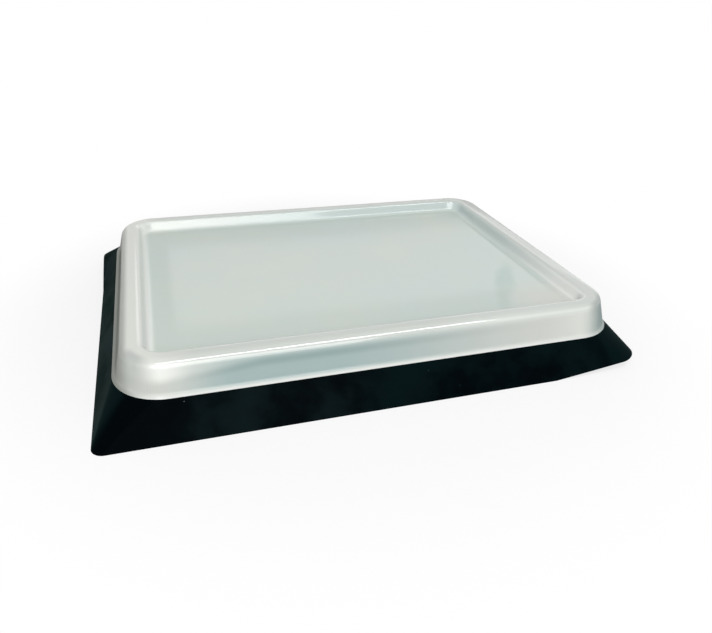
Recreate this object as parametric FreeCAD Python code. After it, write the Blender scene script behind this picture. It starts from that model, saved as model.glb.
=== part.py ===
import FreeCAD
import Part
import math
import os

from FreeCAD import Vector

# Wet palette for painting miniatures: a thin-walled tray, a lift-off lid, a sponge and a sheet of paper.
# Millimetres. X runs along the long sides, Y from front to back, Z up. The origin is on the table, under
# the middle of the tray.

# Lid, measured on its outside
LID_WIDTH = 200.0
LID_DEPTH = 150.0
LID_HEIGHT = 12.2
LID_SHEET = 1.0
LIP_HEIGHT = 1.6
LIP_RUN = 1.6
LIP_BEND = 3.0
WALL_RUN = 2.7
RIDGE_WIDTH = 7.1
RIDGE_OUTER_BEND = 3.4
RIDGE_INNER_BEND = 1.4
RIDGE_INNER_RUN = 2.0
PANEL_DROP = 5.2
PANEL_BEND = 3.0
PANEL_CORNER_RADIUS = 5.6

# Tray
SEAT_HEIGHT = 13.1
TRAY_SHEET = 1.2
SKIRT_RUN = 7.8
FOOT_CORNER_RADIUS = 4.5
RIM_BEND = 0.4
SHOULDER_BEND = 0.8
BASIN_RUN = 4.2
BASIN_BEND = 3.0
CORNER_LIFT_HEIGHT = 4.7
CORNER_LIFT_REACH = 42.0
FRONT_CORNER_SPREAD = 2.0
BACK_CORNER_SPREAD = 5.0

# Clearances between the lid and the tray
LIP_OVERHANG = 0.4
RIM_GAP_OUTSIDE = 0.6
RIM_GAP_INSIDE = 1.1
RIM_HEADROOM = 1.0

# Sponge and paper
SPONGE_THICKNESS = 9.0
SPONGE_GAP = 0.4
SPONGE_CORNER_RADIUS = 6.0
SPONGE_EDGE_RADIUS = 1.2
PAPER_THICKNESS = 0.2
PAPER_MARGIN = 1.5
PAPER_CORNER_RADIUS = 5.0

# Sections are drawn as (u, z): u runs outwards from the corner centres, which the lid and the tray share.
panel_u = PANEL_CORNER_RADIUS
ridge_inner_u = panel_u + RIDGE_INNER_RUN
ridge_outer_u = ridge_inner_u + RIDGE_WIDTH
lip_top_u = ridge_outer_u + WALL_RUN
lip_u = lip_top_u + LIP_RUN
center_x = LID_WIDTH / 2 - lip_u
center_y = LID_DEPTH / 2 - lip_u
lid_top = SEAT_HEIGHT + LID_HEIGHT
panel_top = lid_top - PANEL_DROP

UP = Vector(0, 0, 1)
ORIGIN = Vector(0, 0, 0)


def outline(half_x, half_y, radius, z):
    """Level rounded rectangle about the Z axis, as a closed wire."""
    edges = []
    x = half_x - radius
    y = half_y - radius
    last = Vector(half_x, -y, z)
    for quarter, (corner_x, corner_y) in enumerate(((x, y), (-x, y), (-x, -y), (x, -y))):
        arc = []
        for step in range(3):
            angle = math.radians(90 * quarter + 45 * step)
            arc.append(Vector(corner_x + radius * math.cos(angle), corner_y + radius * math.sin(angle), z))
        edges.append(Part.LineSegment(last, arc[0]).toShape())
        edges.append(Part.Arc(*arc).toShape())
        last = arc[2]
    return Part.Wire(edges)


def plate(half_x, half_y, radius, z_low, z_high):
    """Upright block with a rounded-rectangle plan."""
    return Part.Face(outline(half_x, half_y, radius, z_low)).extrude(UP * (z_high - z_low))


def crossing(first, second):
    """Point where two straight lines of a section meet."""
    (u0, z0), (u1, z1) = first
    (u2, z2), (u3, z3) = second
    along = ((u2 - u0) * (z3 - z2) - (z2 - z0) * (u3 - u2)) / ((u1 - u0) * (z3 - z2) - (z1 - z0) * (u3 - u2))
    return u0 + along * (u1 - u0), z0 + along * (z1 - z0)


def underside(path, sheet):
    """The sheet's hidden side: the path moved to its right by the sheet's thickness."""
    lines = []
    for (u0, z0), (u1, z1) in zip(path, path[1:]):
        length = math.hypot(u1 - u0, z1 - z0)
        shift_u = sheet * (z1 - z0) / length
        shift_z = -sheet * (u1 - u0) / length
        lines.append(((u0 + shift_u, z0 + shift_z), (u1 + shift_u, z1 + shift_z)))
    corners = [crossing(first, second) for first, second in zip(lines, lines[1:])]
    return [lines[0][0]] + corners + [lines[-1][1]]


def bent_edges(path, radii):
    """Straight runs joined by tangent arcs, drawn in the X-Z plane."""
    points = [Vector(u, 0, z) for u, z in path]
    edges = []
    last = points[0]
    for before, corner, after, radius in zip(points, points[1:], points[2:], radii):
        back = (before - corner).normalize()
        ahead = (after - corner).normalize()
        half_angle = back.getAngle(ahead) / 2
        middle = (back + ahead).normalize()
        arc_start = corner + back * (radius / math.tan(half_angle))
        arc_middle = corner + middle * (radius / math.sin(half_angle) - radius)
        arc_end = corner + ahead * (radius / math.tan(half_angle))
        edges.append(Part.LineSegment(last, arc_start).toShape())
        edges.append(Part.Arc(arc_start, arc_middle, arc_end).toShape())
        last = arc_end
    edges.append(Part.LineSegment(last, points[-1]).toShape())
    return edges


def sheet_section(path, bends, sheet):
    """Face of a bent sheet. Each bend is the radius on its tight side, and the sheet adds to the other."""
    upper_radii = []
    lower_radii = []
    for (u0, z0), (u1, z1), (u2, z2), bend in zip(path, path[1:], path[2:], bends):
        turns_left = (u1 - u0) * (z2 - z1) - (z1 - z0) * (u2 - u1) > 0
        upper_radii.append(bend if turns_left else bend + sheet)
        lower_radii.append(bend + sheet if turns_left else bend)
    upper = bent_edges(path, upper_radii)
    lower = bent_edges(underside(path, sheet), lower_radii)
    ends = []
    for index, vertex in ((0, 0), (-1, 1)):
        upper_point = upper[index].Vertexes[vertex].Point
        lower_point = lower[index].Vertexes[vertex].Point
        ends.append(Part.LineSegment(upper_point, lower_point).toShape())
    return Part.Face(Part.Wire(Part.__sortEdges__(upper + lower + ends)))


def carried_round(section, core_low, core_high):
    """The section carried along four sides and round four corners, with a flat core in the middle."""
    corners = [Vector(x, y, 0) for x, y in ((center_x, center_y), (-center_x, center_y),
                                            (-center_x, -center_y), (center_x, -center_y))]
    pieces = []
    for quarter, here in enumerate(corners):
        turned = section.copy()
        turned.rotate(ORIGIN, UP, 90 * quarter)
        side_start = corners[quarter - 1]
        pieces.append(turned.translated(side_start).extrude(here - side_start))
        pieces.append(turned.translated(here).revolve(here, UP, 90))
    core_start = Vector(-center_x, -center_y, core_low)
    core = Part.makeBox(2 * center_x, 2 * center_y, core_high - core_low, core_start)
    return core.multiFuse(pieces).removeSplitter()


def make_lid():
    """Lip, leaning wall, hollow ridge and sunk panel in one sheet, cut flat where the lip is seated."""
    lip_slope = LIP_RUN / LIP_HEIGHT
    path = [(0, panel_top),
            (panel_u, panel_top),
            (ridge_inner_u, lid_top),
            (ridge_outer_u, lid_top),
            (lip_top_u, SEAT_HEIGHT + LIP_HEIGHT),
            (lip_u + LID_SHEET * lip_slope, SEAT_HEIGHT - LID_SHEET)]
    bends = [PANEL_BEND, RIDGE_INNER_BEND, RIDGE_OUTER_BEND, LIP_BEND]
    sheet = carried_round(sheet_section(path, bends, LID_SHEET), panel_top - LID_SHEET, panel_top)
    below_seat = Part.makeBox(2 * LID_WIDTH, 2 * LID_DEPTH, SEAT_HEIGHT, Vector(-LID_WIDTH, -LID_DEPTH, 0))
    return sheet.cut(below_seat)


def rim_sides():
    """Where the tray's rim may stand under the ridge: inner and outer u of its top, outer u at the seat."""
    top = lid_top - LID_SHEET - RIM_HEADROOM
    wall_slope = WALL_RUN / (LID_HEIGHT - LIP_HEIGHT)
    wall_inset = (LID_SHEET + RIM_GAP_OUTSIDE) * math.hypot(1, wall_slope)
    ridge_slope = RIDGE_INNER_RUN / PANEL_DROP
    ridge_inset = (LID_SHEET + RIM_GAP_INSIDE) * math.hypot(1, ridge_slope)
    inner = ridge_inner_u - ridge_slope * (lid_top - top) + ridge_inset
    outer = ridge_outer_u + wall_slope * (lid_top - top) - wall_inset
    foot = ridge_outer_u + wall_slope * LID_HEIGHT - wall_inset
    return inner, outer, foot, top


rim_inner_u, rim_outer_u, upstand_foot_u, rim_top = rim_sides()
floor_u = rim_inner_u - BASIN_RUN
shoulder_u = lip_u - LIP_OVERHANG
foot_x = LID_WIDTH / 2 + SKIRT_RUN
foot_y = LID_DEPTH / 2 + SKIRT_RUN


def skirt_outline(half_x, half_y, radius, spread, z):
    """Level outline of the skirt. Each side is straight in its middle, and each corner may spread."""
    arcs = []
    x = half_x - radius
    y = half_y - radius
    for quarter, (corner_x, corner_y) in enumerate(((x, y), (-x, y), (-x, -y), (x, -y))):
        reach = radius + spread[quarter]
        arc = []
        for step in range(3):
            angle = math.radians(90 * quarter + 45 * step)
            arc.append(Vector(corner_x + reach * math.cos(angle), corner_y + reach * math.sin(angle), z))
        arcs.append(arc)
    straight_x = foot_x - CORNER_LIFT_REACH
    straight_y = foot_y - CORNER_LIFT_REACH
    straights = [(Vector(straight_x, half_y, z), Vector(-straight_x, half_y, z)),
                 (Vector(-half_x, straight_y, z), Vector(-half_x, -straight_y, z)),
                 (Vector(-straight_x, -half_y, z), Vector(straight_x, -half_y, z)),
                 (Vector(half_x, -straight_y, z), Vector(half_x, straight_y, z))]
    edges = []
    for quarter, (begin, finish) in enumerate(straights):
        next_arc = arcs[(quarter + 1) % 4]
        edges.append(Part.Arc(*arcs[quarter]).toShape())
        edges.append(Part.LineSegment(arcs[quarter][2], begin).toShape())
        edges.append(Part.LineSegment(begin, finish).toShape())
        edges.append(Part.LineSegment(finish, next_arc[0]).toShape())
    return Part.Wire(edges)


def make_skirt(join_u):
    """Flared skirt under the shoulder, open in the middle. Its foot curls up at two opposite corners."""
    shoulder_x = center_x + shoulder_u
    shoulder_y = center_y + shoulder_u
    slope = (foot_x - shoulder_x) / SEAT_HEIGHT
    wall = TRAY_SHEET * math.hypot(1, slope)
    ceiling = SEAT_HEIGHT - TRAY_SHEET
    ceiling_radius = FOOT_CORNER_RADIUS + (shoulder_u - FOOT_CORNER_RADIUS) * ceiling / SEAT_HEIGHT
    ceiling_inset = slope * ceiling + wall
    spread = (0, BACK_CORNER_SPREAD, 0, FRONT_CORNER_SPREAD)
    level = (0, 0, 0, 0)
    ceiling_x = foot_x - ceiling_inset
    ceiling_y = foot_y - ceiling_inset
    outer_foot = skirt_outline(foot_x, foot_y, FOOT_CORNER_RADIUS, spread, 0)
    outer_top = skirt_outline(shoulder_x, shoulder_y, shoulder_u, level, SEAT_HEIGHT)
    inner_foot = skirt_outline(foot_x - wall, foot_y - wall, FOOT_CORNER_RADIUS - wall, spread, 0)
    inner_top = skirt_outline(ceiling_x, ceiling_y, ceiling_radius - wall, level, ceiling)
    outside = Part.makeLoft([outer_foot, outer_top], True, True)
    inside = Part.makeLoft([inner_foot, inner_top], True, True)
    middle = plate(center_x + join_u, center_y + join_u, join_u, 0, SEAT_HEIGHT)
    trimmed = outside.common(plate(foot_x, foot_y, FOOT_CORNER_RADIUS, 0, SEAT_HEIGHT))
    return trimmed.cut(inside).cut(middle).cut(corner_lift(1)).cut(corner_lift(-1))


def corner_lift(side):
    """Wedge under a slanting plane that starts on two foot lines and rises to the corner between them."""
    outwards = Vector(side, -side, 0).normalize()
    across = Vector(side, side, 0).normalize() * CORNER_LIFT_REACH
    run = outwards * (CORNER_LIFT_REACH / math.sqrt(2))
    start = Vector(side * foot_x, -side * foot_y, 0) - run - across
    below = UP * -CORNER_LIFT_HEIGHT
    past_corner = start + run * 2
    points = [start, past_corner + UP * (2 * CORNER_LIFT_HEIGHT), past_corner + below, start + below, start]
    return Part.Face(Part.makePolygon(points)).extrude(across * 2)


def make_base_tray():
    """Basin, rim and upstand in one sheet, joined at the shoulder to the flared skirt."""
    join_u = (upstand_foot_u + shoulder_u) / 2
    path = [(0, TRAY_SHEET),
            (floor_u, TRAY_SHEET),
            (rim_inner_u, rim_top),
            (rim_outer_u, rim_top),
            (upstand_foot_u, SEAT_HEIGHT),
            (join_u, SEAT_HEIGHT)]
    rim_outer_bend = max(RIM_BEND, RIDGE_OUTER_BEND - RIM_HEADROOM - RIM_GAP_OUTSIDE - TRAY_SHEET)
    bends = [BASIN_BEND, RIM_BEND, rim_outer_bend, SHOULDER_BEND]
    basin = carried_round(sheet_section(path, bends, TRAY_SHEET), 0, TRAY_SHEET)
    return basin.fuse(make_skirt(join_u)).removeSplitter()


def flat_floor_u():
    """Where the basin's flat floor ends and its bend begins."""
    wall_angle = math.atan2(rim_top - TRAY_SHEET, BASIN_RUN)
    return floor_u - BASIN_BEND * math.tan(wall_angle / 2)


sponge_x = center_x + flat_floor_u() - SPONGE_GAP
sponge_y = center_y + flat_floor_u() - SPONGE_GAP
sponge_top = TRAY_SHEET + SPONGE_THICKNESS


def make_sponge():
    """Flat sponge on the basin's floor, with soft edges."""
    block = plate(sponge_x, sponge_y, SPONGE_CORNER_RADIUS, TRAY_SHEET, sponge_top)
    level_edges = [edge for edge in block.Edges if edge.BoundBox.ZLength < PAPER_THICKNESS]
    return block.makeFillet(SPONGE_EDGE_RADIUS, level_edges)


def make_palette_paper():
    """One sheet lying on the sponge."""
    return plate(sponge_x - PAPER_MARGIN, sponge_y - PAPER_MARGIN, PAPER_CORNER_RADIUS,
                 sponge_top, sponge_top + PAPER_THICKNESS)


pieces = {
    "base_tray": make_base_tray(),
    "lid": make_lid(),
    "sponge": make_sponge(),
    "palette_paper": make_palette_paper(),
}

os.makedirs("parts", exist_ok=True)
for node, shape in pieces.items():
    box = shape.optimalBoundingBox(False, False)
    print(node, "valid", shape.isValid(), "solids", len(shape.Solids), "faces", len(shape.Faces),
          "volume %.1f" % shape.Volume,
          "size %.2f %.2f %.2f from z %.2f" % (box.XLength, box.YLength, box.ZLength, box.ZMin))
    shape.exportStep("parts/" + node + ".step")
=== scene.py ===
import math

import bmesh
import bpy
from mathutils import Matrix, Vector, noise


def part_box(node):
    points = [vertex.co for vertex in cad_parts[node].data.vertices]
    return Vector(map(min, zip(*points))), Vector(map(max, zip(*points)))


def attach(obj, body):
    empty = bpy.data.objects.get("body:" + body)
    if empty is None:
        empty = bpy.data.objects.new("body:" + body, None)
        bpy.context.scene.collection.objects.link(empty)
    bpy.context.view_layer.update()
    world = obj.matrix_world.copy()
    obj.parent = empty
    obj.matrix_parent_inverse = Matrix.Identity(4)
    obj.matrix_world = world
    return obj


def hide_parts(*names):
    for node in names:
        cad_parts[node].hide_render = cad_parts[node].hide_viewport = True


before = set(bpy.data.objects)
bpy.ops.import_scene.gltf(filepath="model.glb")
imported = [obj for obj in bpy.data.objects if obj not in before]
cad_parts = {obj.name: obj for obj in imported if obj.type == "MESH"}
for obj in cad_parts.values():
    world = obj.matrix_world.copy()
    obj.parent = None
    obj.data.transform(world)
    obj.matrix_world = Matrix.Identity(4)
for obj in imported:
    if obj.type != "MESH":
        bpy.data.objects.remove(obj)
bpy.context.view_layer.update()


# Base tray: one thin sheet of black plastic, drawn over a mould and trimmed at the foot.
# It shines only a little, and the drawn sheet keeps slow waves, streaks at its corners
# and a fine grain. Handling leaves smudges and a few specks of dust on it.
# Broad teal bands round its corners are painted reflections.

def new_material(name):
    """An empty node material with its Principled shader wired to the output."""
    material = bpy.data.materials.new(name)
    material.use_nodes = True
    tree = material.node_tree
    tree.nodes.clear()
    output = tree.nodes.new("ShaderNodeOutputMaterial")
    shader = tree.nodes.new("ShaderNodeBsdfPrincipled")
    tree.links.new(shader.outputs["BSDF"], output.inputs["Surface"])
    return material, tree, shader


def new_group(name, inputs, outputs):
    """An empty shader node group with float inputs, given as name and default, and float outputs."""
    tree = bpy.data.node_groups.new(name, "ShaderNodeTree")
    for label, value in inputs.items():
        socket = tree.interface.new_socket(label, in_out="INPUT", socket_type="NodeSocketFloat")
        socket.default_value = value
    for label in outputs:
        tree.interface.new_socket(label, in_out="OUTPUT", socket_type="NodeSocketFloat")
    given = tree.nodes.new("NodeGroupInput").outputs
    made = tree.nodes.new("NodeGroupOutput").inputs
    return tree, given, made


def fill(tree, socket, value):
    """Give a socket a number or a colour, or link it to another node's output."""
    if isinstance(value, bpy.types.NodeSocket):
        tree.links.new(value, socket)
    else:
        socket.default_value = value


def fill_all(tree, sockets, values):
    """Fill several sockets, each given by its name."""
    for label, value in values.items():
        fill(tree, sockets[label], value)


def place_group(tree, group, values):
    """A group node in a material, with its own values."""
    node = tree.nodes.new("ShaderNodeGroup")
    node.node_tree = group
    fill_all(tree, node.inputs, values)
    return node.outputs


def calculated(tree, operation, *values):
    """Output of a Math node."""
    node = tree.nodes.new("ShaderNodeMath")
    node.operation = operation
    for socket, value in zip(node.inputs, values):
        fill(tree, socket, value)
    return node.outputs[0]


def product(tree, first, *others):
    """Several values multiplied."""
    for value in others:
        first = calculated(tree, "MULTIPLY", first, value)
    return first


def remapped(tree, value, low, high, new_low, new_high):
    """A value's range moved to a new range, with a smooth start and end."""
    node = tree.nodes.new("ShaderNodeMapRange")
    node.interpolation_type = "SMOOTHSTEP"
    fill_all(tree, node.inputs, {
        "Value": value, "From Min": low, "From Max": high, "To Min": new_low, "To Max": new_high})
    return node.outputs["Result"]


def rising(tree, value, span):
    """A share that goes from 0 to 1 as a value passes through a span."""
    return remapped(tree, value, *span, 0.0, 1.0)


def tinted(tree, share, first, second):
    """A colour between two colours."""
    node = tree.nodes.new("ShaderNodeMix")
    node.data_type = "RGBA"
    fill_all(tree, node.inputs, {"Factor": share, "A": first, "B": second})
    return node.outputs["Result"]


def layered(tree, colour, layers):
    """A colour with others laid over it in turn, each given as its share and its tint."""
    for share, tint in layers:
        colour = tinted(tree, share, colour, tint)
    return colour


def object_place(tree):
    """Where a point is on the object, in metres."""
    return tree.nodes.new("ShaderNodeTexCoord").outputs["Object"]


def place_parts(tree):
    """X, Y and Z of where a point is on the object."""
    node = tree.nodes.new("ShaderNodeSeparateXYZ")
    tree.links.new(object_place(tree), node.inputs[0])
    return node.outputs


def cloudy(tree, size, detail=1.0, roughness=0.5):
    """Noise with features of about the given size in metres."""
    node = tree.nodes.new("ShaderNodeTexNoise")
    fill_all(tree, node.inputs, {
        "Vector": object_place(tree), "Scale": calculated(tree, "DIVIDE", 1.0, size),
        "Detail": detail, "Roughness": roughness})
    return node.outputs["Fac"]


def cellular(tree, spacing):
    """Round cells whose centres are about the given spacing apart, in metres."""
    node = tree.nodes.new("ShaderNodeTexVoronoi")
    fill_all(tree, node.inputs, {
        "Vector": object_place(tree), "Scale": calculated(tree, "DIVIDE", 1.0, spacing)})
    return node.outputs


def bumped(tree, shader, height, distance, strength):
    """Wire a height to the shader's normal."""
    node = tree.nodes.new("ShaderNodeBump")
    fill_all(tree, node.inputs, {"Strength": strength, "Distance": distance, "Height": height})
    tree.links.new(node.outputs["Normal"], shader.inputs["Normal"])


def dress(node, material):
    """Give a CAD node its finish."""
    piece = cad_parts[node]
    piece.data.materials.clear()
    piece.data.materials.append(material)


# Drawn sheet: the distance outwards from the corner centres that the tray and the lid share,
# broad fans round each drawn corner, which lay painted reflections on the tray,
# and a height with slow waves, a fine grain and corner streaks.
REFLECTION_FAN_TURNS = 3.0
REFLECTION_FAN_START = math.radians(135)
STREAK_REACH = 0.010
drawn_sheet, given, made = new_group(
    "drawn_sheet",
    {"Corner X": 0.08, "Corner Y": 0.05, "Wave Size": 0.04, "Grain Size": 0.002, "Grain Share": 0.02,
     "Streak Turns": 6.0, "Streak Share": 0.1},
    ["Outward", "Inside Corner", "Reflection Fans", "Height"])
tree = drawn_sheet
place = place_parts(tree)
beyond = []
signed = []
for axis in "XY":
    distance = calculated(tree, "ABSOLUTE", place[axis])
    past = calculated(tree, "SUBTRACT", distance, given["Corner " + axis])
    beyond.append(calculated(tree, "MAXIMUM", past, 0.0))
    signed.append(product(tree, calculated(tree, "SIGN", place[axis]), beyond[-1]))
squares = [calculated(tree, "POWER", length, 2.0) for length in beyond]
outward = calculated(tree, "SQRT", calculated(tree, "ADD", *squares))
inside_corner = calculated(tree, "MINIMUM", *beyond)
turn = calculated(tree, "ARCTAN2", signed[1], signed[0])
reflection_fans = calculated(tree, "COSINE", calculated(tree, "MULTIPLY_ADD", turn, REFLECTION_FAN_TURNS, REFLECTION_FAN_START))
streaks = tree.nodes.new("ShaderNodeTexNoise")
streaks.noise_dimensions = "1D"
fill_all(tree, streaks.inputs, {"W": product(tree, turn, given["Streak Turns"]), "Detail": 1.0})
in_corner = rising(tree, inside_corner, (0.0, STREAK_REACH))
height = product(tree, streaks.outputs["Fac"], in_corner, given["Streak Share"])
grain = cloudy(tree, given["Grain Size"])
height = calculated(tree, "MULTIPLY_ADD", grain, given["Grain Share"], height)
height = calculated(tree, "ADD", cloudy(tree, given["Wave Size"]), height)
fill_all(tree, made, {"Outward": outward, "Inside Corner": inside_corner, "Reflection Fans": reflection_fans, "Height": height})

# Handling marks: sparse specks of dust as a mask, and soft smudges as a value.
SPECK_CUTOFF = 0.6
handling_marks, given, made = new_group(
    "handling_marks",
    {"Speck Spacing": 0.004, "Speck Radius": 0.05, "Smudge Size": 0.03},
    ["Specks", "Smudge"])
tree = handling_marks
cells = cellular(tree, given["Speck Spacing"])
chance = tree.nodes.new("ShaderNodeSeparateColor")
tree.links.new(cells["Color"], chance.inputs["Color"])
reach = product(tree, chance.outputs["Red"], given["Speck Radius"])
near = calculated(tree, "LESS_THAN", cells["Distance"], reach)
chosen = calculated(tree, "GREATER_THAN", chance.outputs["Green"], SPECK_CUTOFF)
fill_all(tree, made, {
    "Specks": product(tree, near, chosen),
    "Smudge": cloudy(tree, given["Smudge Size"], detail=4.0, roughness=0.6)})

# Corner centres, which the round corners of the tray and the lid share.
FORMED_SECTION = 0.019
lid_low, lid_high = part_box("lid")
corner_centre = {"Corner X": lid_high.x - FORMED_SECTION, "Corner Y": lid_high.y - FORMED_SECTION}

TRAY_BLACK = (0.0007, 0.0016, 0.0023, 1)
# Teal of the smudges, and of the painted reflections round the corners.
TRAY_TEAL_SMUDGE_AND_REFLECTION = (0.0016, 0.0060, 0.0070, 1)
TRAY_DUST = (0.10, 0.11, 0.11, 1)
TRAY_SHEEN = (0.3, 1.0, 0.85, 1)
TRAY_SMUDGES = (0.35, 0.68)
TRAY_CORNER_REACH = 0.012
TRAY_REFLECTION_FANS = (0.0, 0.8)
TRAY_REFLECTION_FANS_SHARE = 1.4
TRAY_ROUGHNESS = (0.30, 0.45)
TRAY_COAT = (0.015, 0.045)
tray_plastic, tree, shader = new_material("black_tray_plastic")
marks = place_group(
    tree, handling_marks, {"Speck Spacing": 0.005, "Speck Radius": 0.05, "Smudge Size": 0.024})
sheet = place_group(
    tree, drawn_sheet,
    corner_centre | {"Wave Size": 0.035, "Grain Size": 0.0016, "Streak Share": 0.15})
smudge = rising(tree, marks["Smudge"], TRAY_SMUDGES)
in_corner = rising(tree, sheet["Inside Corner"], (0.0, TRAY_CORNER_REACH))
# Round each corner the teal follows broad fans instead of the smudges: painted reflections of the lamps.
reflection_fans = remapped(tree, sheet["Reflection Fans"], *TRAY_REFLECTION_FANS, 0.0, TRAY_REFLECTION_FANS_SHARE)
reflection_over_smudge = calculated(tree, "SUBTRACT", reflection_fans, smudge)
smudge_and_reflection = calculated(tree, "MULTIPLY_ADD", reflection_over_smudge, in_corner, smudge)
fill_all(tree, shader.inputs, {
    "Base Color": layered(tree, TRAY_BLACK, [(smudge_and_reflection, TRAY_TEAL_SMUDGE_AND_REFLECTION), (marks["Specks"], TRAY_DUST)]),
    "Roughness": remapped(tree, smudge, 0.0, 1.0, *TRAY_ROUGHNESS),
    "Specular IOR Level": 0.0,
    "Coat Weight": remapped(tree, smudge_and_reflection, 0.0, 1.0, *TRAY_COAT),
    "Coat Roughness": 0.12,
    "Coat IOR": 1.3,
    "Sheen Weight": 0.025,
    "Sheen Roughness": 0.4,
    "Sheen Tint": TRAY_SHEEN})
bumped(tree, shader, sheet["Height"], distance=0.0012, strength=0.5)
dress("base_tray", tray_plastic)


# Sponge: a soft pad of pale yellow cellulose that fills the basin and holds the water.
# It is cut from a sheet, so open pores of mixed sizes show on every side,
# and it swells unevenly when wet.

SPONGE_CORNER = 0.006
SPONGE_CORNER_STEPS = 8
SPONGE_EDGE = 0.0012
SPONGE_EDGE_STEPS = 3
SPONGE_GRAIN = 0.00085
SPONGE_SWELL = 0.0002
SPONGE_WAVE = 0.022
# Each size of pore has a spacing and a depth. Their radii are shares of the spacing.
SPONGE_PORES = ((0.0068, 0.0011), (0.0040, 0.0008), (0.0024, 0.0005))
PORE_RADIUS = 0.34
PORE_SPREAD = 0.16
PORE_SMALLEST = 0.26
PORE_SHUFFLE = 7.3
FACING_DOWN = -0.5
sponge_low, sponge_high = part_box("sponge")
pad_size = sponge_high - sponge_low - Vector((2, 2, 1)) * SPONGE_SWELL
pad_centre = (sponge_low + sponge_high) / 2 - Vector((0, 0, SPONGE_SWELL / 2))


def rounded_off(shape, parts, radius, steps, affect="EDGES"):
    """Round some of a shape's edges or corners."""
    bmesh.ops.bevel(
        shape, geom=parts, offset=radius, affect=affect, segments=steps, profile=0.5, material=-1)


def upright(edge):
    """Whether an edge of the pad runs from its bottom to its top."""
    return abs(edge.verts[0].co.z - edge.verts[1].co.z) > pad_size.z / 2


def new_object(name, shape):
    """An object in the scene, made from a finished shape."""
    mesh = bpy.data.meshes.new(name)
    shape.to_mesh(mesh)
    shape.free()
    made_object = bpy.data.objects.new(name, mesh)
    bpy.context.scene.collection.objects.link(made_object)
    return made_object


def pore_depth(place, spacing, depth):
    """How deep the nearest pore of one size is at a place: round, wider or narrower by chance."""
    distances, centres = noise.voronoi(place / spacing)
    radius = PORE_RADIUS + PORE_SPREAD * noise.cell(centres[0] * PORE_SHUFFLE)
    return depth * max(0.0, 1.0 - (distances[0] / radius) ** 2) if radius > PORE_SMALLEST else 0.0


shape = bmesh.new()
bmesh.ops.create_cube(shape, size=1.0, matrix=Matrix.LocRotScale(pad_centre, None, pad_size))
rounded_off(shape, [edge for edge in shape.edges if upright(edge)], SPONGE_CORNER, SPONGE_CORNER_STEPS)
shape.normal_update()
rounded_off(shape, [edge for edge in shape.edges if not upright(edge)], SPONGE_EDGE, SPONGE_EDGE_STEPS)
sponge_pad = new_object("sponge_pad", shape)
cut = sponge_pad.modifiers.new("grain", "REMESH")
cut.mode = "VOXEL"
cut.voxel_size = SPONGE_GRAIN
cut.use_smooth_shade = True
evaluated_pad = sponge_pad.evaluated_get(bpy.context.evaluated_depsgraph_get())
open_cells = bpy.data.meshes.new_from_object(evaluated_pad)
sponge_pad.modifiers.clear()
sponge_pad.data = open_cells
normals = [vertex.normal.copy() for vertex in open_cells.vertices]
for vertex, normal in zip(open_cells.vertices, normals):
    place = vertex.co.copy()
    hollow = max(pore_depth(place, spacing, depth) for spacing, depth in SPONGE_PORES)
    swell = SPONGE_SWELL * noise.noise(place / SPONGE_WAVE)
    resting = normal.z < FACING_DOWN
    vertex.co = place + normal * ((0.0 if resting else swell) - hollow)

SPONGE_YELLOW = (0.76, 0.60, 0.27, 1)
SPONGE_PALE = (0.86, 0.74, 0.42, 1)
# Painted shade in the pinholes.
SPONGE_PORE_SHADE = (0.42, 0.29, 0.10, 1)
SPONGE_PATCH_SIZE = 0.03
SPONGE_PATCHES = (0.3, 0.7)
SPONGE_ROUGHNESS = (0.55, 0.85)
PINHOLE_SPACING = 0.0011
PINHOLE_EDGE = (0.15, 0.55)
SPONGE_FIBRE_SIZE = 0.0004
SPONGE_FIBRE_SHARE = 0.4
sponge_cellulose, tree, shader = new_material("sponge_cellulose")
patches = rising(tree, cloudy(tree, SPONGE_PATCH_SIZE, detail=3.0), SPONGE_PATCHES)
# The pinholes are painted darker than the cells between them: painted shade in the holes.
between_holes = rising(tree, cellular(tree, PINHOLE_SPACING)["Distance"], PINHOLE_EDGE)
fibre = cloudy(tree, SPONGE_FIBRE_SIZE, detail=2.0)
yellow = tinted(tree, patches, SPONGE_YELLOW, SPONGE_PALE)
fill_all(tree, shader.inputs, {
    "Base Color": tinted(tree, between_holes, SPONGE_PORE_SHADE, yellow),
    "Roughness": remapped(tree, patches, 0.0, 1.0, *SPONGE_ROUGHNESS)})
height = calculated(tree, "MULTIPLY_ADD", fibre, SPONGE_FIBRE_SHARE, between_holes)
bumped(tree, shader, height, distance=0.0004, strength=0.8)
open_cells.materials.clear()
open_cells.materials.append(sponge_cellulose)
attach(sponge_pad, "sponge")
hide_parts("sponge")


# Palette paper: one sheet of pale, half-clear paper, cut with round corners to lie on the wet sponge.
# The damp makes it cockle in low waves, and its corners lift slightly.

PAPER_CORNER = 0.005
PAPER_CORNER_STEPS = 8
PAPER_STEP = 0.0025
PAPER_COCKLE = 0.00022
PAPER_COCKLE_SIZE = 0.026
PAPER_COCKLE_STRETCH = 0.6
PAPER_CURL = 0.0009
PAPER_CURL_REACH = 0.035
PAPER_CURL_USUAL = 0.6
PAPER_CURL_SPREAD = 0.4
PAPER_CURL_SEED = (3, 5, 0.5)
PAPER_LIFT = 0.00012
paper_low, paper_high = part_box("palette_paper")
paper_thickness = paper_high.z - paper_low.z


def rounded_panel(half_x, half_y, radius, z, steps):
    """One level face with round corners, about the Z axis."""
    shape = bmesh.new()
    corners = ((-half_x, -half_y), (half_x, -half_y), (half_x, half_y), (-half_x, half_y))
    shape.faces.new([shape.verts.new((x, y, z)) for x, y in corners])
    rounded_off(shape, shape.verts[:], radius, steps, affect="VERTICES")
    return shape


def all_parts(shape):
    """All of a shape's vertices, edges and faces."""
    return shape.verts[:] + shape.edges[:] + shape.faces[:]


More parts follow.
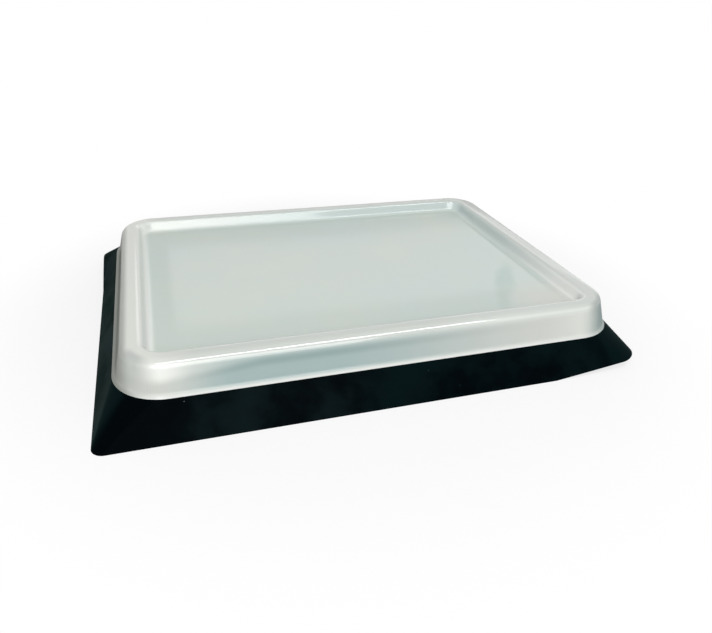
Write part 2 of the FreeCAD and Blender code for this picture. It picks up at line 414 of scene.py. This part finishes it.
def slice_both_ways(shape, half_x, half_y, step):
    """Cut a shape along evenly spaced upright planes, so that it can bend."""
    for half, across in ((half_x, Vector((1, 0, 0))), (half_y, Vector((0, 1, 0)))):
        count = round(2 * half / step)
        for number in range(1, count):
            place = across * (2 * half * number / count - half)
            bmesh.ops.bisect_plane(shape, geom=all_parts(shape), plane_co=place, plane_no=across)


def wave_share(x, y, size):
    """Slow waves from 0 to 1 over a sheet."""
    return 0.5 + 0.5 * noise.noise(Vector((x, y, 0)) / size)


def smooth_faces(shape):
    """Shade all of a shape's faces smoothly."""
    for face in shape.faces:
        face.smooth = True


shape = rounded_panel(paper_high.x, paper_high.y, PAPER_CORNER, paper_high.z, PAPER_CORNER_STEPS)
slice_both_ways(shape, paper_high.x, paper_high.y, PAPER_STEP)
seed_x, seed_y, seed_z = PAPER_CURL_SEED
for vertex in shape.verts:
    place = vertex.co.copy()
    cockle = wave_share(place.x, place.y * PAPER_COCKLE_STRETCH, PAPER_COCKLE_SIZE)
    to_corner = Vector((paper_high.x - abs(place.x), paper_high.y - abs(place.y)))
    curl = max(0.0, 1.0 - to_corner.length / PAPER_CURL_REACH) ** 2
    seed = Vector((math.copysign(seed_x, place.x), math.copysign(seed_y, place.y), seed_z))
    uneven = PAPER_CURL_USUAL + PAPER_CURL_SPREAD * noise.noise(seed)
    vertex.co.z += PAPER_LIFT + PAPER_COCKLE * cockle + PAPER_CURL * curl * uneven
smooth_faces(shape)
palette_sheet = new_object("palette_sheet", shape)
thick = palette_sheet.modifiers.new("thickness", "SOLIDIFY")
thick.thickness = paper_thickness
thick.offset = -1.0

PAPER_DRY = (0.82, 0.81, 0.76, 1)
PAPER_DAMP = (0.70, 0.69, 0.62, 1)
PAPER_FIBRE = (0.90, 0.89, 0.85, 1)
PAPER_DAMP_SIZE = 0.035
PAPER_DAMP_EDGE = (0.42, 0.58)
PAPER_ROUGHNESS = (0.62, 0.34)
FIBRE_WIDTH = 0.0004
FIBRE_LENGTH = 0.0030
FIBRE_TURN = 0.5
FIBRE_EDGE = (0.5, 0.75)
FIBRE_SHARE = 0.6
palette_paper, tree, shader = new_material("damp_palette_paper")
damp = rising(tree, cloudy(tree, PAPER_DAMP_SIZE, detail=4.0, roughness=0.6), PAPER_DAMP_EDGE)
strands = tree.nodes.new("ShaderNodeMapping")
fill_all(tree, strands.inputs, {
    "Vector": object_place(tree),
    "Rotation": (0.0, 0.0, FIBRE_TURN),
    "Scale": (1 / FIBRE_WIDTH, 1 / FIBRE_LENGTH, 1 / FIBRE_WIDTH)})
felt = tree.nodes.new("ShaderNodeTexNoise")
fill_all(tree, felt.inputs, {"Vector": strands.outputs["Vector"], "Scale": 1.0, "Detail": 3.0})
fibres = remapped(tree, felt.outputs["Fac"], *FIBRE_EDGE, 0.0, FIBRE_SHARE)
fill_all(tree, shader.inputs, {
    "Base Color": layered(tree, PAPER_DRY, [(damp, PAPER_DAMP), (fibres, PAPER_FIBRE)]),
    "Roughness": remapped(tree, damp, 0.0, 1.0, *PAPER_ROUGHNESS)})
bumped(tree, shader, felt.outputs["Fac"], distance=0.00008, strength=0.6)
palette_sheet.data.materials.append(palette_paper)
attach(palette_sheet, "paper")
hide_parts("palette_paper")


# Lid: one thin sheet of milky plastic, formed like the tray, that lets a blurred light through.
# It lifts off by hand. Its leaning wall is painted darker and cooler than the panel, most of all at the
# sides:
# painted shade for the light it lacks and for the black tray behind it. On the right its outer bend is
# sharper and its wall straighter.

# The section's places are distances outwards from the corner centres.
# The bends are radii, in order from the panel to the lip.
LID_SHEET = 0.0010
PANEL_EDGE = 0.0056
RIDGE_INNER = 0.0076
RIDGE_OUTER = 0.0147
LIP_TOP = 0.0176
PANEL_DROP = 0.0052
LIP_HEIGHT = 0.0012
LID_BENDS = (0.0030, 0.0024, 0.0044, 0.0020)
RIDGE_OUTER_RIGHT = 0.0149
LIP_TOP_RIGHT = 0.0182
LID_BENDS_RIGHT = (0.0030, 0.0024, 0.0018, 0.0020)
BEND_STEPS = 10
CORNER_STEPS = 20
LID_SLICE = 0.006
LID_WAVE = 0.00014
LID_WAVE_SIZE = 0.045
LID_SHARP_ANGLE = math.radians(40)
seat = lid_low.z
lid_top = lid_high.z


def bent_section(path, bends, steps):
    """Points of a sheet's section: straight runs joined by round bends."""
    corners = [Vector(point) for point in path]
    points = [corners[0]]
    for before, bend, after, radius in zip(corners, corners[1:], corners[2:], bends):
        arriving = (before - bend).normalized()
        leaving = (after - bend).normalized()
        half_angle = arriving.angle(leaving) / 2
        centre = bend + (arriving + leaving).normalized() * radius / math.sin(half_angle)
        first = (bend + arriving * radius / math.tan(half_angle) - centre).normalized()
        last = (bend + leaving * radius / math.tan(half_angle) - centre).normalized()
        points += [centre + first.slerp(last, step / steps) * radius for step in range(steps + 1)]
    return points + [corners[-1]]


def lid_section(ridge_outer, lip_top, bends):
    """Points of the lid's section: distance outwards from the corner centres, and height."""
    lip_slope = (FORMED_SECTION - lip_top) / LIP_HEIGHT
    return bent_section(
        [(0.0, lid_top - PANEL_DROP), (PANEL_EDGE, lid_top - PANEL_DROP), (RIDGE_INNER, lid_top),
         (ridge_outer, lid_top), (lip_top, seat + LIP_HEIGHT),
         (FORMED_SECTION + LID_SHEET * lip_slope, seat - LID_SHEET)],
        bends, BEND_STEPS)


section = lid_section(RIDGE_OUTER, LIP_TOP, LID_BENDS)
section_right = lid_section(RIDGE_OUTER_RIGHT, LIP_TOP_RIGHT, LID_BENDS_RIGHT)
corner_x, corner_y = corner_centre.values()
panel_out, panel_height = section[1]
shape = rounded_panel(corner_x + panel_out, corner_y + panel_out, panel_out, panel_height, CORNER_STEPS)
ring = shape.faces[:][0].verts[:]
for usual, on_right in zip(section[2:], section_right[2:]):
    next_ring = []
    for vertex in ring:
        centre = Vector((math.copysign(corner_x, vertex.co.x), math.copysign(corner_y, vertex.co.y)))
        heading = (vertex.co.xy - centre).normalized()
        out, rise = usual.lerp(on_right, max(0.0, heading.x))
        next_ring.append(shape.verts.new((centre + heading * out).to_3d() + Vector((0, 0, rise))))
    for number, vertex in enumerate(ring):
        shape.faces.new((vertex, ring[number - 1], next_ring[number - 1], next_ring[number]))
    ring = next_ring
slice_both_ways(shape, lid_high.x, lid_high.y, LID_SLICE)
for vertex in shape.verts:
    above_lip = min(1.0, max(0.0, (vertex.co.z - seat - LIP_HEIGHT) / LIP_HEIGHT))
    vertex.co.z -= LID_WAVE * wave_share(vertex.co.x, vertex.co.y, LID_WAVE_SIZE) * above_lip
bmesh.ops.recalc_face_normals(shape, faces=shape.faces[:])
bmesh.ops.solidify(shape, geom=shape.faces[:], thickness=LID_SHEET)
bmesh.ops.bisect_plane(
    shape, geom=all_parts(shape), plane_co=(0, 0, seat), plane_no=(0, 0, -1), clear_outer=True)
bmesh.ops.bridge_loops(shape, edges=[edge for edge in shape.edges if edge.is_boundary])
bmesh.ops.recalc_face_normals(shape, faces=shape.faces[:])
smooth_faces(shape)
lid_shell = new_object("lid_shell", shape)
lid_shell.data.set_sharp_from_angle(angle=LID_SHARP_ANGLE)

# Tints of the lid's panel, ridge, inner slope, lip and wall. Apart from the milk and its drifting tints,
# the smudge, the dust and the plain ridge and lip, they are painted light and painted shade.
LID_MILK = (0.605, 0.67, 0.625, 1)
LID_COOL = (0.57, 0.66, 0.64, 1)
LID_WARM = (0.625, 0.665, 0.605, 1)
LID_SMUDGE = (0.48, 0.59, 0.555, 1)
# Painted light on the panel's front right corner.
LID_FRONT_RIGHT_LIGHT = (0.67, 0.69, 0.645, 1)
LID_DUST = (0.40, 0.42, 0.41, 1)
LID_RIDGE = (0.595, 0.625, 0.59, 1)
# Painted light on the ridge's left side and front, a painted highlight line along the front, and painted
# shade at the right, along the outer left edge and at the front corners.
LID_RIDGE_LEFT_LIGHT = (0.73, 0.745, 0.695, 1)
LID_RIDGE_FRONT_LIGHT = (0.625, 0.655, 0.62, 1)
LID_PAINTED_HIGHLIGHT_LINE = (0.70, 0.735, 0.695, 1)
LID_RIDGE_RIGHT_SHADE = (0.485, 0.51, 0.48, 1)
LID_RIDGE_EDGE_SHADE = (0.27, 0.285, 0.25, 1)
LID_CORNER_SHADE = (0.50, 0.525, 0.495, 1)
LID_CORNER_RIGHT_SHADE = (0.38, 0.415, 0.395, 1)
# Painted light on the inner slope, most at the front and on the left, and painted shade towards the right.
LID_INNER_LIGHT = (0.72, 0.755, 0.72, 1)
LID_INNER_SHADE = (0.565, 0.65, 0.63, 1)
LID_INNER_FRONT_LIGHT = (0.88, 0.89, 0.86, 1)
LID_INNER_LEFT_LIGHT = (0.87, 0.90, 0.86, 1)
LID_LIP = (0.70, 0.72, 0.69, 1)
# Painted shade at the lip's left and right ends.
LID_LIP_LEFT_SHADE = (0.27, 0.285, 0.255, 1)
LID_LIP_RIGHT_SHADE = (0.40, 0.45, 0.43, 1)
# Painted light in the wall's corners, dimmer at the front left, and a painted highlight on the front wall's
# left end.
LID_PALE_CORNER_LIGHT = (0.70, 0.715, 0.67, 1)
LID_PALE_LOW_SHADE = (0.595, 0.61, 0.57, 1)
LID_PAINTED_GLOW = (0.87, 0.89, 0.84, 1)
# Painted shade on the wall: cooler and darker than the panel, darkest at the left and right sides, with a
# line of painted shade, and painted light towards the right of the front.
LID_WALL_SHADE = (0.36, 0.46, 0.45, 1)
LID_WALL_LEFT_SHADE = (0.18, 0.195, 0.165, 1)
LID_WALL_RIGHT_LIGHT = (0.61, 0.62, 0.585, 1)
LID_WALL_SIDE_SHADE = (0.22, 0.30, 0.295, 1)
LID_TOUCH_SHADE = (0.285, 0.38, 0.37, 1)

# Where the tints start and end. A START or END is a span outwards from the corner centres,
# an INSIDE is a span into a corner, and a SPAN runs along X unless it names its axis.
# A share rises from a span's first number to its second, which may be the lower one.
LID_DRIFT = (0.3, 0.7)
LID_DRIFT_SHARE = 0.5
LID_ROUGHNESS = (0.29, 0.36)
LID_GLOSS = (0.30, 0.65)
LID_GLOSS_DULLED = 0.23
SMUDGE_CENTRE = (0.0665, -0.034, 0.0)
SMUDGE_HALVES = (0.030, 0.0055, 1.0)
SMUDGE_TURN = math.radians(60)
SMUDGE_RAGS = 0.7
SMUDGE_RAG_SIZE = 0.008
SMUDGE_EDGE = (0.75, 1.4)
SMUDGE_SHARE = 0.9
FRONT_RIGHT_SPANS = {"X": (0.050, 0.075), "Y": (-0.030, -0.050)}
FRONT_LEFT_SPANS = {"X": (0.0, -0.030), "Y": (0.0, -0.030)}
RIDGE_START = (0.0050, 0.0066)
RIDGE_LEFT_SPAN = (-0.070, -0.090)
RIDGE_EDGE_SPAN = (-0.0928, -0.0960)
RIDGE_RIGHT_SPANS = {"X": (0.0885, 0.0925), "Y": (-0.050, -0.010)}
RIDGE_FRONT_SPANS = {"X": (0.010, 0.050), "Y": (-0.030, -0.055)}
RIDGE_LINE_START = (0.0134, 0.0142)
RIDGE_LINE_END = (0.0151, 0.0144)
CORNER_START = (0.0108, 0.0132)
CORNER_INSIDE = (0.0015, 0.0065)
CORNER_SPAN = (-0.085, -0.091)
CORNER_RIGHT_START = (0.0122, 0.0144)
CORNER_RIGHT_INSIDE = (0.0015, 0.0075)
INNER_START = (0.0046, 0.0058)
INNER_END = (0.0086, 0.0070)
INNER_COOL_SPAN = (-0.080, 0.005)
INNER_FRONT_Y_SPAN = (0.020, -0.055)
INNER_LEFT_SPAN = (-0.0836, -0.0870)
LIP_START = (0.01735, 0.0186)
LIP_LEFT_SPAN = (-0.0875, -0.0988)
LIP_DULL_SPAN = (0.068, 0.092)
SIDE_RIGHT_SPAN = (0.079, 0.094)
WALL_START = (0.0144, 0.0158)
WALL_END = (0.0186, 0.01735)
WALL_TINT_SPAN = (-0.03, 0.08)
WALL_LEFT_SPAN = (-0.0925, -0.0965)
PALE_CORNER = {"Corner X": 0.058, "Corner Y": 0.046}
PALE_CORNER_REACH = 0.028
TOUCH_LINE = 0.0159
TOUCH_WIDTH = 0.0006
TOUCH_LEAN = 0.021
TOUCH_LEAN_SPAN = (-0.084, -0.050)
GLOW_START = (0.0140, 0.0152)
GLOW_PAST_TOUCH = (0.0004, -0.0006)
GLOW_CORNER_SPAN = (-0.091, -0.083)
GLOW_CORNER_SHARE = 0.1
GLOW_NEAR_SPAN = (-0.072, -0.084)
GLOW_NEAR_SHARE = 0.60
GLOW_FAR_SPAN = (-0.045, -0.080)
GLOW_FAR_SHARE = 0.35


def rising_in(tree, place, spans):
    """A share that rises along each axis that has a span."""
    return product(tree, *[rising(tree, place[axis], span) for axis, span in spans.items()])


def length_of(tree, vector):
    """Length of a vector."""
    node = tree.nodes.new("ShaderNodeVectorMath")
    node.operation = "LENGTH"
    tree.links.new(vector, node.inputs[0])
    return node.outputs["Value"]


lid_plastic, tree, shader = new_material("milky_lid_plastic")
marks = place_group(
    tree, handling_marks, {"Speck Spacing": 0.009, "Speck Radius": 0.035, "Smudge Size": 0.045})
sheet = place_group(
    tree, drawn_sheet,
    corner_centre | {"Wave Size": 0.05, "Grain Size": 0.0018, "Grain Share": 0.008, "Streak Turns": 5.0,
                     "Streak Share": 0.35})
outward = sheet["Outward"]
inside_corner = sheet["Inside Corner"]
pale_corner = place_group(tree, drawn_sheet, PALE_CORNER)["Inside Corner"]
place = place_parts(tree)
along = place["X"]
front_left = rising_in(tree, place, FRONT_LEFT_SPANS)
side_right = rising(tree, along, SIDE_RIGHT_SPAN)
inner_left = rising(tree, along, INNER_LEFT_SPAN)

# Panel: milk that drifts between two tints, with one long smudge near its front right corner.
# Its front right corner and its left edge are painted lighter: painted light.
drift = tinted(tree, rising(tree, marks["Smudge"], LID_DRIFT), LID_WARM, LID_COOL)
oval = tree.nodes.new("ShaderNodeMapping")
oval.vector_type = "TEXTURE"
fill_all(tree, oval.inputs, {
    "Vector": object_place(tree), "Location": SMUDGE_CENTRE, "Rotation": (0.0, 0.0, SMUDGE_TURN),
    "Scale": SMUDGE_HALVES})
rags = cloudy(tree, SMUDGE_RAG_SIZE, detail=2.0)
ragged = calculated(tree, "MULTIPLY_ADD", rags, SMUDGE_RAGS, length_of(tree, oval.outputs["Vector"]))
panel = layered(tree, drift, [
    (LID_DRIFT_SHARE, LID_MILK),
    (remapped(tree, ragged, *SMUDGE_EDGE, SMUDGE_SHARE, 0.0), LID_SMUDGE),
    (rising_in(tree, place, FRONT_RIGHT_SPANS), LID_FRONT_RIGHT_LIGHT),
    (inner_left, LID_INNER_LEFT_LIGHT)])

# Ridge, inner slope and lip: painted light at the front and on the left, with a painted highlight line along
# the front, and painted shade on the right, at the front corners and along the outer left edge. The inner
# slope is painted lighter, most of all at the front and on the left, with painted shade towards the right,
# and the lip's ends get painted shade.
ridge_front = rising_in(tree, place, RIDGE_FRONT_SPANS)
on_highlight_line = product(tree, rising(tree, outward, RIDGE_LINE_START), rising(tree, outward, RIDGE_LINE_END))
corner_right_shade = product(
    tree, ridge_front, rising(tree, outward, CORNER_RIGHT_START),
    rising(tree, inside_corner, CORNER_RIGHT_INSIDE))
corner_left_shade = product(
    tree, front_left, rising(tree, outward, CORNER_START), rising(tree, inside_corner, CORNER_INSIDE),
    rising(tree, along, CORNER_SPAN))
ridge = layered(tree, LID_RIDGE, [
    (ridge_front, tinted(tree, on_highlight_line, LID_RIDGE_FRONT_LIGHT, LID_PAINTED_HIGHLIGHT_LINE)),
    (corner_right_shade, LID_CORNER_RIGHT_SHADE),
    (rising(tree, along, RIDGE_LEFT_SPAN), LID_RIDGE_LEFT_LIGHT),
    (corner_left_shade, LID_CORNER_SHADE),
    (rising(tree, along, RIDGE_EDGE_SPAN), LID_RIDGE_EDGE_SHADE),
    (rising_in(tree, place, RIDGE_RIGHT_SPANS), LID_RIDGE_RIGHT_SHADE)])
slope = layered(tree, LID_INNER_LIGHT, [
    (rising(tree, along, INNER_COOL_SPAN), LID_INNER_SHADE),
    (inner_left, LID_INNER_LEFT_LIGHT),
    (rising(tree, place["Y"], INNER_FRONT_Y_SPAN), LID_INNER_FRONT_LIGHT)])
on_slope = product(tree, rising(tree, outward, INNER_START), rising(tree, outward, INNER_END))
lip = layered(tree, LID_LIP, [
    (rising(tree, along, LIP_LEFT_SPAN), LID_LIP_LEFT_SHADE),
    (side_right, LID_LIP_RIGHT_SHADE)])
on_lip = rising(tree, outward, LIP_START)

# Wall: painted shade, darkest at the sides, with painted light in the corners, dimmer at the front left, and
# towards the right of the front. A darker line of painted shade runs where the tray's rim is close behind,
# and above that line, which leans at its left end, a painted highlight brightens the front wall's left end.
wall = product(tree, rising(tree, outward, WALL_START), rising(tree, outward, WALL_END))
corner_light = product(tree, wall, rising(tree, pale_corner, (0.0, PALE_CORNER_REACH)))
corner_light_tints = layered(tree, LID_PALE_CORNER_LIGHT, [(side_right, LID_WALL_SIDE_SHADE), (front_left, LID_PALE_LOW_SHADE)])
lean_start, lean_end = TOUCH_LEAN_SPAN
lean = calculated(tree, "MINIMUM", calculated(tree, "MAXIMUM", along, lean_start), lean_end)
lean = product(tree, calculated(tree, "SUBTRACT", lean, lean_end), front_left)
past_line = calculated(tree, "SUBTRACT", outward, TOUCH_LINE)
past_touch = calculated(tree, "MULTIPLY_ADD", lean, TOUCH_LEAN, past_line)
touch_shade = remapped(tree, calculated(tree, "ABSOLUTE", past_touch), 0.0, TOUCH_WIDTH, 1.0, 0.0)
# The wall's painted shade, with its line of painted shade and its painted light towards the right.
shaded_wall = layered(tree, LID_WALL_SHADE, [
    (touch_shade, LID_TOUCH_SHADE),
    (rising(tree, along, WALL_TINT_SPAN), LID_WALL_RIGHT_LIGHT),
    (rising(tree, along, WALL_LEFT_SPAN), LID_WALL_LEFT_SHADE),
    (side_right, LID_WALL_SIDE_SHADE)])
# A painted highlight above the line, on the front wall's left end.
glow_near = remapped(tree, along, *GLOW_NEAR_SPAN, 0.0, GLOW_NEAR_SHARE)
glow_far = remapped(tree, along, *GLOW_FAR_SPAN, 0.0, GLOW_FAR_SHARE)
painted_glow = product(
    tree, calculated(tree, "ADD", glow_near, glow_far), front_left,
    remapped(tree, along, *GLOW_CORNER_SPAN, GLOW_CORNER_SHARE, 1.0),
    rising(tree, outward, GLOW_START), rising(tree, past_touch, GLOW_PAST_TOUCH))

# Finish: the panel shines less than the ridge, and the wall and the lip's ends least.
gloss = remapped(tree, outward, *RIDGE_START, *LID_GLOSS)
lip_ends = rising(tree, calculated(tree, "ABSOLUTE", along), LIP_DULL_SPAN)
dull = calculated(tree, "MULTIPLY_ADD", on_lip, lip_ends, wall)
fill_all(tree, shader.inputs, {
    "Base Color": layered(tree, panel, [
        (rising(tree, outward, RIDGE_START), ridge),
        (on_lip, lip),
        (on_slope, slope),
        (corner_light, corner_light_tints),
        (calculated(tree, "SUBTRACT", wall, corner_light), shaded_wall),
        (painted_glow, LID_PAINTED_GLOW),
        (marks["Specks"], LID_DUST)]),
    "Roughness": remapped(tree, marks["Smudge"], *LID_DRIFT, *LID_ROUGHNESS),
    "Specular IOR Level": 0.0,
    "Transmission Weight": 0.15,
    "IOR": 1.49,
    "Coat Weight": product(tree, gloss, remapped(tree, dull, 0.0, 1.0, 1.0, LID_GLOSS_DULLED)),
    "Coat Roughness": 0.08,
    "Coat IOR": 2.0})
bumped(tree, shader, sheet["Height"], distance=0.0004, strength=0.5)
lid_shell.data.materials.append(lid_plastic)
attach(lid_shell, "lid")
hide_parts("lid")


# Floor: a pale, plain sheet of paper that runs past the camera's view on all sides.
# It takes the palette's soft shadow, and away from the palette it turns to plain white.

FLOOR_RADIUS = 14.0
FLOOR_STEPS = 96
FLOOR_WHITE = (0.82, 0.82, 0.82, 1)
SHADOW_REACH = (0.11, 0.18)
SHADOW_SOFTENED = 0.72
shape = bmesh.new()
bmesh.ops.create_circle(shape, cap_ends=True, segments=FLOOR_STEPS, radius=FLOOR_RADIUS)
floor = new_object("floor", shape)


def seen_directly(tree):
    """1 on rays from the camera, in mirror images and through clear pieces, 0 on rays that carry light."""
    path = tree.nodes.new("ShaderNodeLightPath").outputs
    mirrored = calculated(tree, "MAXIMUM", path["Is Glossy Ray"], path["Is Transmission Ray"])
    return calculated(tree, "MAXIMUM", path["Is Camera Ray"], mirrored)


floor_paper, tree, shader = new_material("floor_paper")
fill_all(tree, shader.inputs, {"Base Color": FLOOR_WHITE, "Roughness": 0.9, "Specular IOR Level": 0.0})
plain_white = tree.nodes.new("ShaderNodeEmission")
far = remapped(tree, length_of(tree, object_place(tree)), *SHADOW_REACH, SHADOW_SOFTENED, 1.0)
paper_or_white = tree.nodes.new("ShaderNodeMixShader")
fill(tree, paper_or_white.inputs["Fac"], product(tree, far, seen_directly(tree)))
tree.links.new(shader.outputs["BSDF"], paper_or_white.inputs[1])
tree.links.new(plain_white.outputs["Emission"], paper_or_white.inputs[2])
tree.links.new(paper_or_white.outputs["Shader"], tree.nodes["Material Output"].inputs["Surface"])
floor.data.materials.append(floor_paper)


# Lights: a pale room with three softboxes. A long one above the front draws the highlights along the
# ridge and the lip, a broad one in front lights the walls, and a weak one behind is mirrored by the panel.

ROOM_WHITE = (1.0, 1.0, 1.0, 1)
ROOM_FILL = 0.34
world = bpy.data.worlds.new("studio")
bpy.context.scene.world = world
world.use_nodes = True
tree = world.node_tree
fill_all(tree, tree.nodes["Background"].inputs, {
    "Color": ROOM_WHITE,
    "Strength": calculated(tree, "MAXIMUM", seen_directly(tree), ROOM_FILL)})


def softbox(name, centre, target, width, height, watts):
    """A rectangular lamp that faces a point."""
    lamp = bpy.data.lights.new(name, "AREA")
    lamp.shape = "RECTANGLE"
    lamp.size = width
    lamp.size_y = height
    lamp.energy = watts
    holder = bpy.data.objects.new(name, lamp)
    aim = (Vector(target) - Vector(centre)).to_track_quat("-Z", "Y").to_matrix().to_4x4()
    holder.matrix_world = Matrix.Translation(centre) @ aim
    holder.visible_camera = False
    bpy.context.scene.collection.objects.link(holder)


PALETTE_PLACE = (0.0, 0.0, 0.0)
softbox("key_softbox", centre=(0.04, -0.33, 0.74), target=PALETTE_PLACE,
        width=0.80, height=0.12, watts=2.8)
softbox("front_softbox", centre=(-0.17, -0.73, 0.53), target=PALETTE_PLACE,
        width=0.90, height=0.50, watts=4.3)
softbox("back_softbox", centre=(0.51, 0.72, 0.375), target=(0.51, 0.0, 0.375),
        width=1.164, height=0.15, watts=0.6)


# Camera: where the photograph was taken from, slightly rolled.

PHOTO_WIDTH = 712
FOCAL_PIXELS = 628.4
SENSOR_WIDTH = 36.0
CLIP_START = 0.01
AZIMUTH = math.radians(-18.524)
ELEVATION = math.radians(28.859)
ROLL = math.radians(-2.31)
OFFSET = Vector((-0.00754, 0.00571, -0.30085))
level = math.cos(ELEVATION)
right = Vector((math.cos(AZIMUTH), math.sin(AZIMUTH), 0))
back = Vector((math.sin(AZIMUTH) * level, -math.cos(AZIMUTH) * level, math.sin(ELEVATION)))
up = back.cross(right)
turned_right = math.cos(ROLL) * right - math.sin(ROLL) * up
turned_up = math.sin(ROLL) * right + math.cos(ROLL) * up
turn = Matrix((turned_right, turned_up, back)).transposed()
camera_data = bpy.data.cameras.new("photo_camera")
camera_data.sensor_width = SENSOR_WIDTH
camera_data.lens = FOCAL_PIXELS * SENSOR_WIDTH / PHOTO_WIDTH
camera_data.clip_start = CLIP_START
camera = bpy.data.objects.new("photo_camera", camera_data)
camera.matrix_world = Matrix.Translation(-(turn @ OFFSET)) @ turn.to_4x4()
bpy.context.scene.collection.objects.link(camera)
bpy.context.scene.camera = camera

bpy.context.scene.view_settings.view_transform = "Standard"
